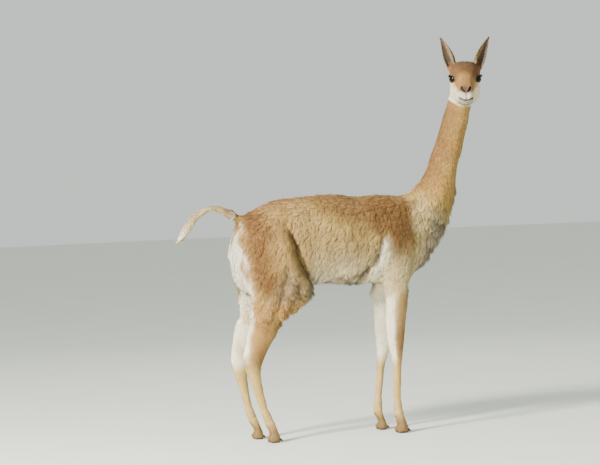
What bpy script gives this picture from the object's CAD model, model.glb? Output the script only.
"""A life-size standing vicuna: one skin under its coat, with eyes, lids, lashes and nails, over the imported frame.

Everything is in metres. The animal faces +X and turns its head to its right, which is -Y. Places of marks and
folds are given as the animal was drawn, with the ground at 0, and home() brings them onto the frame.
"""

import contextlib
import math

import bmesh
import bpy
import numpy as np
from bpy.props import FloatProperty, FloatVectorProperty, IntProperty, PointerProperty
from mathutils import Matrix, Vector
from mathutils.kdtree import KDTree


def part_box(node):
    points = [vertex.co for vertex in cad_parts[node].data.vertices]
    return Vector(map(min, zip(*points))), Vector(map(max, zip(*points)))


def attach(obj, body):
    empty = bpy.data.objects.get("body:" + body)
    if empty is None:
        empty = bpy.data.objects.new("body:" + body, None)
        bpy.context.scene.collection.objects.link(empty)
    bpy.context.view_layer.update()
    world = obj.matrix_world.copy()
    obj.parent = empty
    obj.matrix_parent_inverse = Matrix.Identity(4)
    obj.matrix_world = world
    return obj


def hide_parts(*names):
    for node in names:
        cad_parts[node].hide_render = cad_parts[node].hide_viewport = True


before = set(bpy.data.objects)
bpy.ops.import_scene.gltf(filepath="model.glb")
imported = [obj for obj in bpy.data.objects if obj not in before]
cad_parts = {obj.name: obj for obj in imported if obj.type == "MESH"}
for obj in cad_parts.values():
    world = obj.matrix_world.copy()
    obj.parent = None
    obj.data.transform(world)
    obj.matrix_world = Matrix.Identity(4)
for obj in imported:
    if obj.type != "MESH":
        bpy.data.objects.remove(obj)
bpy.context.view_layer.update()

bl_info = {
    "name": "Standing vicuna",
    "version": (1, 0, 0),
    "blender": (4, 5, 0),
    "location": "3D View > Sidebar > Vicuna",
    "description": "Dresses the packed vicuna with its skin, coat, eyes and nails",
    "category": "Object",
}

BODY = "root"
SIDES = {"right": -1, "left": 1}
TOES = [f"{end}_{side}_toe_{toe}" for end in ("fore", "hind") for side in SIDES for toe in SIDES]
NAILS = [name.replace("toe", "nail") for name in TOES]
SHANKS = [f"{end}_cannon_{side}" for end in ("fore", "hind") for side in SIDES]
LIMBS = [f"{part}_{side}" for part in ("foreleg", "thigh") for side in SIDES]
EARS = [f"ear_{side}" for side in SIDES]
EYES = [f"eye_{side}" for side in SIDES]
FLESH = ["torso", "neck", "tail", "head", *LIMBS, *SHANKS, *TOES]

# The frame stands with its box on the origin. One nail's corner tells how far that is from the drawn place
NAIL_DRAWN_AT = np.array((0.30862, 0.08694, 0.00389))
MOVED = np.array(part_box("fore_left_nail_left")[0]) - NAIL_DRAWN_AT

# The head's own frame: x forward along the face, y left, z up, from between the eyes
HEAD_PLACE = (0.635, -0.062, 1.266)
HEAD_TURN = (
    Matrix.Rotation(math.radians(-110.6), 3, "Z")
    @ Matrix.Rotation(math.radians(9.0), 3, "Y")
    @ Matrix.Rotation(math.radians(-1.8), 3, "X")
)
EYE_AT = (0.0075, 0.0385, 0.0)
EYE_RADIUS = 0.0182
EYE_LOOKS = Vector((0.69, 0.72, -0.03)).normalized()
EYE_SLANT = -0.16
EYE_OPEN = (0.0155, 0.0116, 0.0104)
LID_OVER = 0.0017
NOSTRIL = ((0.0150, -0.0165), (0.0142, -0.0205), (0.0105, -0.0255), (0.0052, -0.0312))
NOSTRIL_WIDE = (0.0041, 0.0050, 0.0040, 0.0022)
CLEFT = (-0.030, -0.060)
MOUTH_Z = -0.0615
MOUTH_RISE = 0.0065
EAR_ROOT = (-0.052, 0.0425, 0.030)
EAR_TIP = (-0.046, 0.0875, 0.141)

# Where the finely made head and feet join the body: a point of the cut and the way to the finer side
HEAD_JOINT = ((0.634, 0.028, 1.124), (0.10, -0.50, 0.86))
NECK_RING = (0.640, 0.0, 1.172)
FOOT_JOINT = ((0.0, 0.0, 0.118), (0.0, 0.0, -1.0))
LAP = 0.0012

# Marks on the coat, as the animal was drawn: edges are (x, z) or (z, x) pairs
SADDLE_EDGE = (
    (-0.30, -0.20, -0.036, 0.034, 0.129, 0.208, 0.252, 0.31),
    (0.88, 0.862, 0.842, 0.819, 0.779, 0.757, 0.745, 0.715),
)
SHOULDER_REAR = ((0.44, 0.53, 0.605, 0.657, 0.718, 0.76), (0.335, 0.345, 0.345, 0.338, 0.305, 0.235))
SHOULDER_FRONT = ((0.44, 0.531, 0.645, 0.702, 0.79, 0.853), (0.385, 0.390, 0.405, 0.410, 0.405, 0.425))
RUMP_BAND = ((0.50, 0.586, 0.642, 0.703, 0.816), (-0.150, -0.168, -0.184, -0.192, -0.178))
RUMP_WHITE = (
    (0.30, 0.40, 0.528, 0.599, 0.687, 0.785, 0.83),
    (-0.250, -0.228, -0.216, -0.230, -0.236, -0.240, -0.262),
)
ELBOW_PATCH = ((0.290, 0.690), (0.266, 0.615), (0.247, 0.570))
ELBOW_FOLD = ((0.280, 0.722), (0.262, 0.665), (0.250, 0.622), (0.215, 0.597), (0.185, 0.587))
FLANK_FOLD = ((-0.078, 0.775), (-0.053, 0.703), (-0.034, 0.635), (0.018, 0.554))
STIFLE_TUCK = (
    (0.36, 0.40, 0.42, 0.44, 0.455, 0.47, 0.49, 0.515),
    (0.004, 0.018, 0.050, 0.054, 0.046, 0.026, 0.008, 0.0),
)
HEEL_TUCK = 0.010
TOE_CLEFTS = [
    (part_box(f"{end}_{side}_toe_right")[1][1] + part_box(f"{end}_{side}_toe_left")[0][1]) / 2
    for end in ("fore", "hind") for side in SIDES
]
TAIL_LINE = (
    (-0.195, 0.0, 0.790), (-0.245, 0.0, 0.808), (-0.305, 0.0, 0.834), (-0.355, 0.0, 0.826),
    (-0.385, 0.0, 0.808), (-0.410, 0.0, 0.780), (-0.446, 0.0, 0.733), (-0.456, 0.0, 0.710),
)

CAMERA_AZIMUTH = math.radians(18.0)
CAMERA_AIM = (0.0, 0.0, 0.736)
CAMERA_HEIGHT = 0.95
CAMERA_ROLL = math.radians(-2.5)
METRES_PER_PIXEL = 0.00358
PHOTO_WIDTH = 600


def tone(red, green, blue):
    """A colour read as 0 to 255 from a screen, in the linear values that shaders use."""
    shares = (value / 255 for value in (red, green, blue))
    return tuple(((s + 0.055) / 1.055) ** 2.4 if s > 0.04045 else s / 12.92 for s in shares)


# Settings

class VICUNA_PG_skin(bpy.types.PropertyGroup):
    body_voxel: FloatProperty(
        name="Body grain", description="Mesh grain of the body's skin", default=0.0080, unit="LENGTH"
    )
    head_voxel: FloatProperty(
        name="Head grain", description="Mesh grain of the head's skin", default=0.0029, unit="LENGTH"
    )
    foot_voxel: FloatProperty(
        name="Foot grain", description="Mesh grain of the feet", default=0.0036, unit="LENGTH"
    )
    bridge: FloatProperty(
        name="Bridge", description="How far the parts swell to meet across their gaps", default=0.0005, unit="LENGTH"
    )
    fleece_depth: FloatProperty(
        name="Fleece depth", description="How far the skin lies under the fleece", default=0.011, unit="LENGTH"
    )
    fur_depth: FloatProperty(
        name="Fur depth", description="How far the skin lies under the short fur", default=0.0022, unit="LENGTH"
    )
    face_depth: FloatProperty(
        name="Face depth", description="How far the skin lies under the fur of the face", default=0.0012, unit="LENGTH"
    )
    ear_sunk: FloatProperty(
        name="Ear sunk", description="How far the ears' roots reach into the head", default=0.006, unit="LENGTH"
    )
    fold_depth: FloatProperty(
        name="Fold depth", description="How deep the flank folds in before the thigh", default=0.024, unit="LENGTH"
    )


def colour(name, description, value):
    return FloatVectorProperty(
        name=name, description=description, default=value, subtype="COLOR", size=3, min=0, max=1
    )


class VICUNA_PG_colours(bpy.types.PropertyGroup):
    tawny: colour("Tawny", "Saddle, shoulder and forehead", (0.215, 0.104, 0.034))
    amber: colour("Amber", "Neck and upper face", (0.440, 0.242, 0.072))
    fawn: colour("Fawn", "Flanks and thighs", (0.445, 0.300, 0.114))
    cream: colour("Cream", "Lower legs and lower neck", (0.560, 0.392, 0.112))
    white: colour("White", "Rump, elbow, inner legs and jaw", (0.960, 0.870, 0.660))
    grey: colour("Grey", "Wool of the chest and stifle", (0.330, 0.285, 0.225))
    umber: colour("Umber", "Belly fringe, ear edges and lids", (0.085, 0.050, 0.030))
    bare: colour("Bare skin", "Nose and lips", (0.108, 0.064, 0.044))
    dark: colour("Dark skin", "Nostrils, mouth line and lid rims", (0.010, 0.007, 0.006))


TUFT_FIELDS = (
    ("count", IntProperty, "Tufts", "Number of tufts", {"min": 1}),
    ("length", FloatProperty, "Length", "Mean length of a tuft", {"unit": "LENGTH"}),
    ("width", FloatProperty, "Width", "Mean width of a tuft", {"unit": "LENGTH"}),
    ("rise", FloatProperty, "Rise", "How steeply a tuft leaves the skin", {}),
    ("settle", FloatProperty, "Settle", "How steep a tuft is at its tip", {}),
    ("curl", FloatProperty, "Curl", "Sideways wave, as a share of the length", {}),
    ("gather", FloatProperty, "Gather", "How far tips draw together in locks", {}),
)


def tuft_settings(label, *defaults):
    """A group of settings for the tufts of one region of the coat."""
    fields = {
        key: kind(name=name, description=description, default=value, **more)
        for (key, kind, name, description, more), value in zip(TUFT_FIELDS, defaults)
    }
    return type(f"VICUNA_PG_{label}", (bpy.types.PropertyGroup,), {"__annotations__": fields})


VICUNA_PG_fleece = tuft_settings("fleece", 66000, 0.029, 0.0023, 0.44, 0.10, 0.13, 0.58)
VICUNA_PG_stifle = tuft_settings("stifle", 8500, 0.026, 0.0030, 0.60, 0.16, 0.20, 0.60)
VICUNA_PG_nape = tuft_settings("nape", 22000, 0.019, 0.0022, 0.32, 0.08, 0.08, 0.35)
VICUNA_PG_legs = tuft_settings("legs", 44000, 0.0095, 0.0013, 0.20, 0.05, 0.03, 0.15)
VICUNA_PG_face = tuft_settings("face", 47000, 0.0076, 0.0009, 0.24, 0.05, 0.02, 0.15)
VICUNA_PG_ears = tuft_settings("ears", 14000, 0.0075, 0.0008, 0.20, 0.05, 0.03, 0.15)
VICUNA_PG_tail = tuft_settings("tail", 3600, 0.027, 0.0024, 0.34, 0.12, 0.08, 0.30)


class VICUNA_PG_eyes(bpy.types.PropertyGroup):
    radius: FloatProperty(
        name="Radius", description="Radius of the eyeball", default=EYE_RADIUS, unit="LENGTH"
    )
    rim: FloatProperty(
        name="Rim", description="Half thickness of the bare lid edge", default=0.0009, unit="LENGTH"
    )
    lash: FloatProperty(
        name="Lash", description="Length of the longest lashes", default=0.0145, unit="LENGTH"
    )
    lashes: IntProperty(name="Lashes", description="Lashes on each upper lid", default=46, min=4)
    iris: colour("Iris", "Colour of the iris", (0.0060, 0.0030, 0.0018))


class VICUNA_PG_nails(bpy.types.PropertyGroup):
    share: FloatProperty(
        name="Share", description="Size of a nail's bare part, as a share of the frame's", default=0.86
    )
    set_back: FloatProperty(
        name="Set back", description="How far behind a nail its root lies", default=0.012, unit="LENGTH"
    )


class VICUNA_PG_studio(bpy.types.PropertyGroup):
    floor_size: FloatProperty(name="Floor", description="Radius of the floor", default=30.0, unit="LENGTH")
    floor_colour: colour("Floor colour", "Colour of the floor", tone(224, 228, 218))
    key_power: FloatProperty(name="Key light", description="Power of the key light", default=1260.0)
    fill_power: FloatProperty(name="Fill light", description="Power of the fill light", default=12.0)
    sky: FloatProperty(name="Sky", description="Strength of the light from all round", default=0.87)


# Places

def home(point):
    """A place as drawn, on the frame."""
    return Vector(point) + Vector(MOVED)


def head_home(point, side=1):
    """A place in the head's own frame, on the frame, mirrored to a side."""
    x, y, z = point
    return HEAD_TURN @ Vector((x, y * side, z)) + home(HEAD_PLACE)


def in_head(points):
    """Points of the frame in the head's own frame."""
    return (points - np.array(home(HEAD_PLACE))) @ np.array(HEAD_TURN)


def eye_turn(side):
    """A turn whose z looks out of the eye and whose x runs along its slit, in the frame."""
    out = Vector((EYE_LOOKS.x, EYE_LOOKS.y * side, EYE_LOOKS.z))
    slit = Vector((1, 0, EYE_SLANT))
    slit = (slit - out * slit.dot(out)).normalized()
    return HEAD_TURN @ Matrix((slit, out.cross(slit), out)).transposed()


def in_eye(points, side):
    """Points of the frame in an eye's own frame, whose z looks out."""
    return (points - np.array(head_home(EYE_AT, side))) @ np.array(eye_turn(side))


def lid_up(side):
    """1 where the eye frame's y points up, -1 where it points down."""
    return 1 if (eye_turn(side) @ Vector((0, 1, 0))).z > 0 else -1


def eye_span(points, side):
    """How far out of the lids' opening points lie, 1 at its edge and 9 behind the eye, and their eye frame."""
    e = in_eye(points, side)
    wide, above, below = EYE_OPEN
    tall = np.where(e[:, 1] * lid_up(side) > 0, above, below)
    x = e[:, 0] / wide
    span = np.hypot(x, e[:, 1] / (tall * (1 - 0.30 * np.minimum(x * x, 1.5))))
    return np.where(e[:, 2] > 0.002, span, 9.0), e


def ease(value, low, high):
    """0 below low, 1 above high and a smooth rise between them. High may be the lower of the two."""
    t = np.clip((value - low) / (high - low), 0, 1)
    return t * t * (3 - 2 * t)


def mixed(first, second, share):
    return first + (second - first) * share[:, None]


def near(distance, width):
    """1 at no distance, fading to 0 over about twice the width."""
    return np.exp(-(distance / width) ** 2)


def stretches(across, up, line):
    """For each stretch of a line of pairs, how far along it points lie and their distance from it."""
    for (ax, az), (bx, bz) in zip(line, line[1:]):
        dx, dz = bx - ax, bz - az
        t = np.clip(((across - ax) * dx + (up - az) * dz) / (dx * dx + dz * dz), 0, 1)
        yield t, np.hypot(across - ax - t * dx, up - az - t * dz)


def from_line(across, up, line):
    """Distance in side view from a line of (x, z) places."""
    return np.minimum.reduce([gap for _, gap in stretches(across, up, line)])


def waves(points, grain, seed, stretch=(1, 1, 1)):
    """A smooth random field of about -1 to 1, whose lumps are about a grain across."""
    draw = np.random.default_rng(seed)
    field = np.zeros(len(points))
    for _ in range(9):
        way = draw.normal(size=3)
        way *= draw.uniform(0.6, 1.5) / np.linalg.norm(way)
        field += np.sin(points @ (way / np.array(stretch)) * (math.pi / grain) + draw.uniform(0, 6.28))
    return field / 3.2


def unit(rows):
    return rows / np.maximum(np.linalg.norm(rows, axis=1), 1e-9)[:, None]


def from_nostril(h):
    """How far head points lie out of the nearer nostril, seen from the front, in widths of it."""
    best = np.full(len(h), 9.0)
    for k, (t, gap) in enumerate(stretches(np.abs(h[:, 1]), h[:, 2], NOSTRIL)):
        wide = NOSTRIL_WIDE[k] + (NOSTRIL_WIDE[k + 1] - NOSTRIL_WIDE[k]) * t
        best = np.minimum(best, gap / wide)
    return np.where(h[:, 0] > 0.112, best, 9.0)


def from_mouth(h):
    """Height of head points over the line between the lips."""
    line = MOUTH_Z + MOUTH_RISE * np.minimum(1, (h[:, 1] / 0.021) ** 2) + 0.005 * ease(h[:, 0], 0.122, 0.085)
    return np.where(h[:, 0] > 0.070, h[:, 2] - line, 9.0)


# Regions, each a share from 0 to 1

def head_share(points):
    """1 on the head and 0 on the neck."""
    point, way = (np.array(v) for v in HEAD_JOINT)
    beyond = (points - MOVED - point) @ (way / np.linalg.norm(way))
    return ease(beyond, 0.030, 0.062)


EAR_WAY = unit(np.array([EAR_TIP]) - np.array(EAR_ROOT))[0]


def up_ear(h):
    """How far head points lie up the nearer ear, and their places from its root."""
    place = np.stack((h[:, 0], np.abs(h[:, 1]), h[:, 2]), 1) - np.array(EAR_ROOT)
    return place @ EAR_WAY, place


def along_ear(h):
    """How far head points lie up the nearer ear, and how far from its middle line."""
    up, place = up_ear(h)
    return up, np.linalg.norm(place - up[:, None] * EAR_WAY, axis=1)


def ear_share(points):
    up, off = along_ear(in_head(points))
    return ease(up, 0.016, 0.026) * ease(off, 0.042, 0.036)


def tail_share(points):
    x, z = points[:, 0] - MOVED[0], points[:, 2]
    return ease(x, -0.262, -0.285) * ease(z, 0.60, 0.66)


def leg_share(points):
    """1 on the short-haired part of the legs."""
    x, z = points[:, 0] - MOVED[0], points[:, 2]
    fore = ease(z, 0.545, 0.500) * ease(x, 0.08, 0.12)
    hind = ease(z + 0.45 * (x + 0.18), 0.440, 0.395) * ease(x, 0.12, 0.08)
    return np.maximum(fore, hind)


def hemmed(points):
    """Length of the wool as a share, shorter towards its lower edge on the limbs."""
    x, z = points[:, 0] - MOVED[0], points[:, 2]
    fore = ease(z, 0.600, 0.525) * ease(x, 0.20, 0.26)
    hind = ease(z + 0.45 * (x + 0.18), 0.510, 0.415) * ease(x, 0.12, 0.08)
    return 1 - 0.55 * np.maximum(fore, hind)


def stifle_share(points):
    """1 on the woolly front of the thigh."""
    x, y, z = (points - MOVED).T
    ahead = ease(x + 0.55 * (0.56 - z), -0.150, -0.105)
    ahead *= ease(x, 0.075, 0.045) * ease(z, 0.40, 0.43)
    return ahead * ease(z + 0.9 * x, 0.585, 0.520) * ease(np.abs(y), 0.02, 0.05)


def nape_share(points):
    """1 on the neck above the fleece of the chest."""
    x, _, z = (points - MOVED).T
    return ease(0.65 * (x - 0.50) + 0.76 * (z - 0.84), -0.03, 0.05) * (1 - head_share(points))


# Marks

def cleft_share(h, width, above, below):
    """1 in the cleft of the upper lip, by its width and how softly its two ends fade."""
    ends = ease(h[:, 2], CLEFT[1] - above, CLEFT[1] + 0.004) * ease(h[:, 2], CLEFT[0] + below, CLEFT[0] - 0.004)
    return near(h[:, 1], width) * ends


def front_creases(points):
    """1 in the creases across the front of the chest and the low neck."""
    x, _, z = (points - MOVED).T
    front = ease(x - 0.25 * ease(z, 0.80, 0.95), 0.435, 0.485) * ease(z, 0.62, 0.68) * ease(z, 0.99, 0.90)
    return front * ease(waves(points, 0.030, 34, (3.0, 3.0, 0.8)), 0.15, 0.9)


class Paint:
    """The colour of points, laid on in layers, each of which covers those under it by its share."""

    def __init__(self, tones, name, count):
        self.tones = tones
        self.made = np.tile(tones[name], (count, 1))

    def lay(self, name, share):
        self.made = mixed(self.made, self.tones[name], share)


def body_marks(points, out, tones):
    """Colours of the body, neck, legs and tail."""
    x, y, z = (points - MOVED).T
    ragged = 0.012 * waves(points, 0.035, 5)
    soft = waves(points, 0.09, 8)
    beside = ease(np.abs(y), 0.02, 0.06)
    paint = Paint(tones, "fawn", len(points))
    lay = paint.lay
    lay("cream", 0.55 * ease(soft, -0.4, 1.0))
    lay("amber", 0.40 * ease(x, 0.0, -0.08))
    lay("white", 0.28 * ease(z, 0.72, 0.60) * ease(x, -0.02, 0.03))
    saddle = ease(z + ragged - np.interp(x, *SADDLE_EDGE), -0.030, 0.034) * ease(x, 0.44, 0.39)
    lay("tawny", saddle * (0.70 + 0.04 * ease(x, 0.0, 0.25)))
    croup = ease(z, 0.800, 0.845) * ease(x, -0.02, -0.08)
    lay("tawny", 0.45 * croup)
    band = ease(x + ragged - np.interp(z, *SHOULDER_REAR), -0.030, 0.026)
    band *= ease(x + ragged - np.interp(z, *SHOULDER_FRONT), 0.024, -0.034)
    band *= ease(z, 0.57, 0.70) * beside
    lay("tawny", 0.64 * band)
    ahead = ease(x + ragged - np.interp(z, *SHOULDER_FRONT), -0.015, 0.020) * ease(z, 0.92, 0.86)
    ahead = np.maximum(ahead, ease(z, 0.66, 0.60) * ease(x, 0.29, 0.34)) * ease(np.abs(y), 0.015, 0.060)
    lay("cream", 0.54 * ahead)
    lay("white", 0.18 * ahead)
    rump = near(x + 0.6 * ragged - np.interp(z, *RUMP_BAND), 0.040) * ease(z, 0.49, 0.60) * ease(z, 0.87, 0.80)
    lay("tawny", np.clip(1.3 * rump, 0, 0.95))
    patch = near(from_line(x + 0.3 * ragged, z, ELBOW_PATCH), 0.021) * beside
    lay("white", 0.95 * patch)
    fold = near(from_line(x, z, ELBOW_FOLD), 0.011) * ease(waves(points, 0.016, 9, (1.0, 1.0, 2.6)), -0.5, 0.4)
    lay("umber", 0.86 * fold * beside)
    belly = ease(z + 0.5 * ragged, 0.620, 0.575) * ease(x, -0.03, 0.02) * ease(x, 0.24, 0.20)
    lay("white", belly * (0.50 - 0.36 * ease(x, 0.08, 0.14)))
    under = ease(z, 0.604, 0.560) * ease(x, 0.03, 0.07) * ease(x, 0.26, 0.22)
    under *= ease(waves(points, 0.022, 12), -0.7, 0.4)
    lay("umber", 0.80 * under)
    flank = near(from_line(x + 0.7 * ragged, z, FLANK_FOLD), 0.013) * ease(z, 0.79, 0.70) * beside
    lay("umber", 0.74 * flank)
    stifle = stifle_share(points)
    lay("grey", stifle * (0.32 + 0.16 * ease(z, 0.58, 0.48)))
    lay("umber", 0.30 * stifle)
    lay("umber", 0.62 * stifle * ease(waves(points, 0.017, 41, (1, 1, 3.0)), 0.15, 0.9))
    chest = ease(x - 0.36 * (z - 0.70), 0.440, 0.485) * ease(z, 0.90, 0.80) * ease(z, 0.50, 0.56)
    lay("grey", 0.66 * chest)
    lay("umber", 0.44 * front_creases(points))
    neck = ease(0.65 * (x - 0.50) + 0.76 * (z - 0.84), -0.06, 0.02)
    wool = Paint(tones, "amber", len(points))
    wool.lay("cream", 0.30 * ease(soft, -0.2, 0.8))
    wool.lay("cream", 0.55 * ease(z, 0.90, 0.84))
    wool.lay("tawny", 0.80 * ease(out[:, 0], 0.15, -0.70) * ease(z, 0.86, 0.96))
    wool.lay("cream", 0.60 * ease(out[:, 0], 0.35, 0.95))
    paint.made = mixed(paint.made, wool.made, neck)
    lay("umber", 0.44 * front_creases(points) * neck)
    leg_marks(points, out, lay)
    return paint.made


def leg_marks(points, out, lay):
    """Lays the colours of the rump, legs, feet and tail over those of the body."""
    x, y, z = (points - MOVED).T
    ragged = 0.010 * waves(points, 0.030, 15)
    inward = ease(out[:, 1] * np.sign(y), 0.05, -0.42)
    legs = ease(z, 0.55, 0.47)
    lay("fawn", 0.6 * legs)
    fore = ease(x, 0.08, 0.12) * legs
    front = ease(out[:, 0] + 8 * ragged, -0.42, 0.06)
    lay("white", 0.92 * fore * (1 - front) * ease(z, 0.53, 0.49))
    brown = front * (1 - inward)
    lay("amber", 0.60 * fore * brown)
    lay("tawny", 0.55 * fore * brown * ease(z, 0.25, 0.32) * ease(z + 3 * ragged, 0.46, 0.36))
    hind = ease(x, 0.12, 0.08) * legs
    hock = near(x + 0.190, 0.034) * near(z - 0.295, 0.060)
    lay("amber", 0.75 * hind * (1 - inward) * ease(z, 0.27, 0.33))
    lay("tawny", 0.72 * hind * hock * (1 - inward))
    mottle = ease(waves(points, 0.024, 19, (1.0, 1.0, 1.8)), -0.1, 0.8) * ease(z, 0.27, 0.33)
    lay("tawny", 0.50 * mottle * hind * (1 - inward))
    rear = ease(x + ragged - np.interp(z, *RUMP_WHITE), 0.014, -0.014)
    lay("white", rear * ease(z, 0.27, 0.33))
    limbs = 1 - ease(x, 0.00, 0.05) * ease(x, 0.27, 0.23)
    lay("white", 0.8 * inward * ease(z, 0.60, 0.54) * limbs)
    lay("amber", 0.40 * mottle * hind)
    low = ease(z, 0.285, 0.235)
    lay("cream", 0.92 * low)
    lay("white", 0.08 * low * ease(waves(points, 0.05, 17), -0.3, 0.6))
    lay("amber", low * (0.26 + 0.24 * ease(out[:, 0], 0.2, 0.9)))
    lay("amber", 0.60 * ease(z, 0.085, 0.040))
    lay("umber", 0.60 * ease(z, 0.075, 0.035))
    for cleft in TOE_CLEFTS:
        lay("umber", 0.85 * near(points[:, 1] - cleft, 0.0028) * ease(z, 0.048, 0.036))
    lay("umber", 0.85 * ease(z, 0.011, 0.004))
    tail = ease(x, -0.235, -0.270) * ease(z, 0.70, 0.76) + ease(x, -0.275, -0.300)
    tail = np.clip(tail, 0, 1) * ease(z, 0.62, 0.68)
    lay("fawn", 0.85 * tail)
    lay("tawny", 0.45 * tail * ease(x, -0.33, -0.28))
    lay("white", 0.55 * tail * ease(x, -0.375, -0.44))


def face_marks(points, out, tones):
    """Colours of the head and ears."""
    h = in_head(points)
    x, y, z = h.T
    ragged = 0.004 * waves(points, 0.012, 25)
    paint = Paint(tones, "amber", len(points))
    lay = paint.lay
    crown = ease(z + 0.30 * x + ragged, 0.000, 0.026) * ease(x, 0.080, 0.035)
    lay("tawny", np.full(len(points), 0.22))
    lay("tawny", crown)
    lay("umber", crown * (0.30 + 0.16 * ease(z, 0.026, 0.046)))
    jaw = ease(x - 0.55 * (z + 0.06) + ragged, -0.062, -0.038)
    cheek = ease(z + 0.30 * x + ragged, 0.004, -0.028) * jaw
    lay("cream", 0.9 * cheek)
    lay("white", 0.74 * cheek)
    lips = ease(x, 0.090, 0.115) * ease(z, -0.026, -0.036)
    lay("white", 0.85 * lips)
    muzzle = ease(x, 0.070, 0.105) * ease(z + 0.42 * x, 0.004, 0.024)
    lay("tawny", 0.40 * muzzle)
    nose = ease(x, 0.118, 0.132) * near(np.hypot(y / 0.0185, (z + 0.022) / 0.0125), 1.0)
    lay("bare", np.clip(1.2 * nose, 0, 0.95))
    over = from_mouth(h)
    lay("grey", 0.80 * near(over + 0.004, 0.016) * ease(x, 0.095, 0.118))
    lay("bare", 0.50 * near(over + 0.001, 0.006) * ease(x, 0.095, 0.120))
    lay("dark", 0.94 * near(over, 0.0029) * ease(x, 0.076, 0.092))
    lay("dark", 0.80 * cleft_share(h, 0.0019, 0.004, 0.004) * ease(x, 0.110, 0.122))
    lay("dark", ease(from_nostril(h), 1.25, 0.85))
    lay("umber", 0.45 * ease(from_nostril(h), 2.2, 1.2))
    lay("umber", 0.70 * ease(out @ np.array(HEAD_TURN)[:, 2], -0.35, -0.85) * ease(x, 0.00, 0.05))
    for side in SIDES.values():
        span, e = eye_span(points, side)
        lay("white", 0.55 * near(span - 2.1, 0.35) * ease(e[:, 1] * lid_up(side), -0.002, -0.012))
        lay("umber", 0.75 * near(span - 1.15, 0.28))
        corner = near(span - 1.35, 0.45) * ease(e[:, 0], 0.006, 0.013)
        lay("umber", 0.80 * corner)
        lay("dark", ease(span, 1.08, 0.98))
    ear = ear_share(points)
    up, place = up_ear(h)
    lay("amber", ear)
    inner = ease((out @ np.array(HEAD_TURN))[:, 0], 0.15, 0.60) * ear
    lay("grey", 0.95 * inner)
    lay("umber", 0.74 * inner)
    aside = place[:, 1] - up * EAR_WAY[1]
    lay("cream", 0.42 * inner * near(aside + 0.0095, 0.0040) * ease(up, 0.115, 0.085))
    lay("umber", 0.80 * inner * near(aside - 0.0015, 0.0062) * ease(up, 0.010, 0.030) * ease(up, 0.110, 0.090))
    lay("umber", 0.50 * ear * ease(up, 0.095, 0.122))
    return paint.made


def marks(points, out, tones):
    """The colour of the coat at points of the skin with their ways out, the same for skin and tufts."""
    h = in_head(points)
    head = head_share(points) * ease(h[:, 0] + 0.9 * (h[:, 2] + 0.09), -0.075, -0.045)
    head *= ease(h[:, 2] - 0.12 * h[:, 0] - 0.62 * np.maximum(0, np.abs(h[:, 1]) - 0.020), -0.107, -0.095)
    return mixed(body_marks(points, out, tones), face_marks(points, out, tones), head)


def palette(colours):
    names = ("tawny", "amber", "fawn", "cream", "white", "grey", "umber", "bare", "dark")
    return {name: np.array(getattr(colours, name)) for name in names}


# The lie of the coat

def ruffled(points):
    """1 where the wool stands out: the front of the chest, the belly and the stifles."""
    x, _, z = (points - MOVED).T
    chest = ease(x - 0.25 * ease(z, 0.80, 0.95), 0.42, 0.48) * ease(z, 0.56, 0.62) * ease(z, 1.00, 0.90)
    belly = ease(z, 0.600, 0.565) * ease(x, -0.02, 0.04) * ease(x, 0.27, 0.22)
    return np.maximum.reduce((chest, belly, 0.7 * stifle_share(points)))


def tail_way(points):
    line = np.array(TAIL_LINE) + MOVED
    best, way = np.full(len(points), 9.0), np.zeros((len(points), 3))
    for start, end in zip(line, line[1:]):
        step = end - start
        t = np.clip((points - start) @ step / (step @ step), 0, 1)
        gap = np.linalg.norm(points - start - t[:, None] * step, axis=1)
        way[gap < best] = step / np.linalg.norm(step)
        best = np.minimum(best, gap)
    return way


def lie(points, out):
    """The way the coat lies at points of the skin, along the skin."""
    x, _, z = (points - MOVED).T
    way = np.tile((-0.38, 0.0, -1.0), (len(points), 1))
    on_neck = ease(0.65 * (x - 0.50) + 0.76 * (z - 0.84), -0.08, 0.02)
    way[:, 0] += 0.20 * on_neck
    back = ease(out[:, 2], 0.45, 0.85) * (1 - on_neck)
    way = mixed(way, np.array((-1.0, 0.0, -0.2)), back)
    stifle = stifle_share(points)
    way = mixed(way, np.array((0.10, 0.0, -1.0)), stifle)
    way = mixed(way, tail_way(points), tail_share(points))
    turn = np.array(HEAD_TURN)
    face = np.tile((-1.0, 0.0, -0.28), (len(points), 1))
    h = in_head(points)
    face[:, 2] += 0.35 * ease(h[:, 2], 0.0, 0.05)
    face[:, 1] += 0.35 * np.sign(h[:, 1]) * ease(h[:, 2], -0.02, 0.03)
    ears = np.tile(EAR_WAY, (len(points), 1))
    ears[:, 1] *= np.sign(h[:, 1])
    face = mixed(face, ears, ear_share(points))
    way = mixed(way, face @ turn.T, head_share(points))
    way -= out * (way * out).sum(1)[:, None]
    return unit(way)


# Meshes

def new_object(name, mesh):
    made = bpy.data.objects.new(name, mesh)
    bpy.context.scene.collection.objects.link(made)
    return made


def evaluated(thing):
    """Turns an object's modifiers into its mesh."""
    depsgraph = bpy.context.evaluated_depsgraph_get()
    mesh = bpy.data.meshes.new_from_object(thing.evaluated_get(depsgraph))
    thing.modifiers.clear()
    old = thing.data
    thing.data = mesh
    bpy.data.meshes.remove(old)
    return thing


def remove(thing):
    mesh = thing.data
    bpy.data.objects.remove(thing)
    bpy.data.meshes.remove(mesh)


def mesh_of(shape, name):
    """A new mesh made of a bmesh, which it frees."""
    mesh = bpy.data.meshes.new(name)
    shape.to_mesh(mesh)
    shape.free()
    return mesh


@contextlib.contextmanager
def edited(thing):
    """Opens an object's mesh as a bmesh and writes it back."""
    shape = bmesh.new()
    shape.from_mesh(thing.data)
    yield shape
    shape.to_mesh(thing.data)
    shape.free()


def shade_smooth(mesh):
    mesh.polygons.foreach_set("use_smooth", np.ones(len(mesh.polygons), bool))


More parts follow.
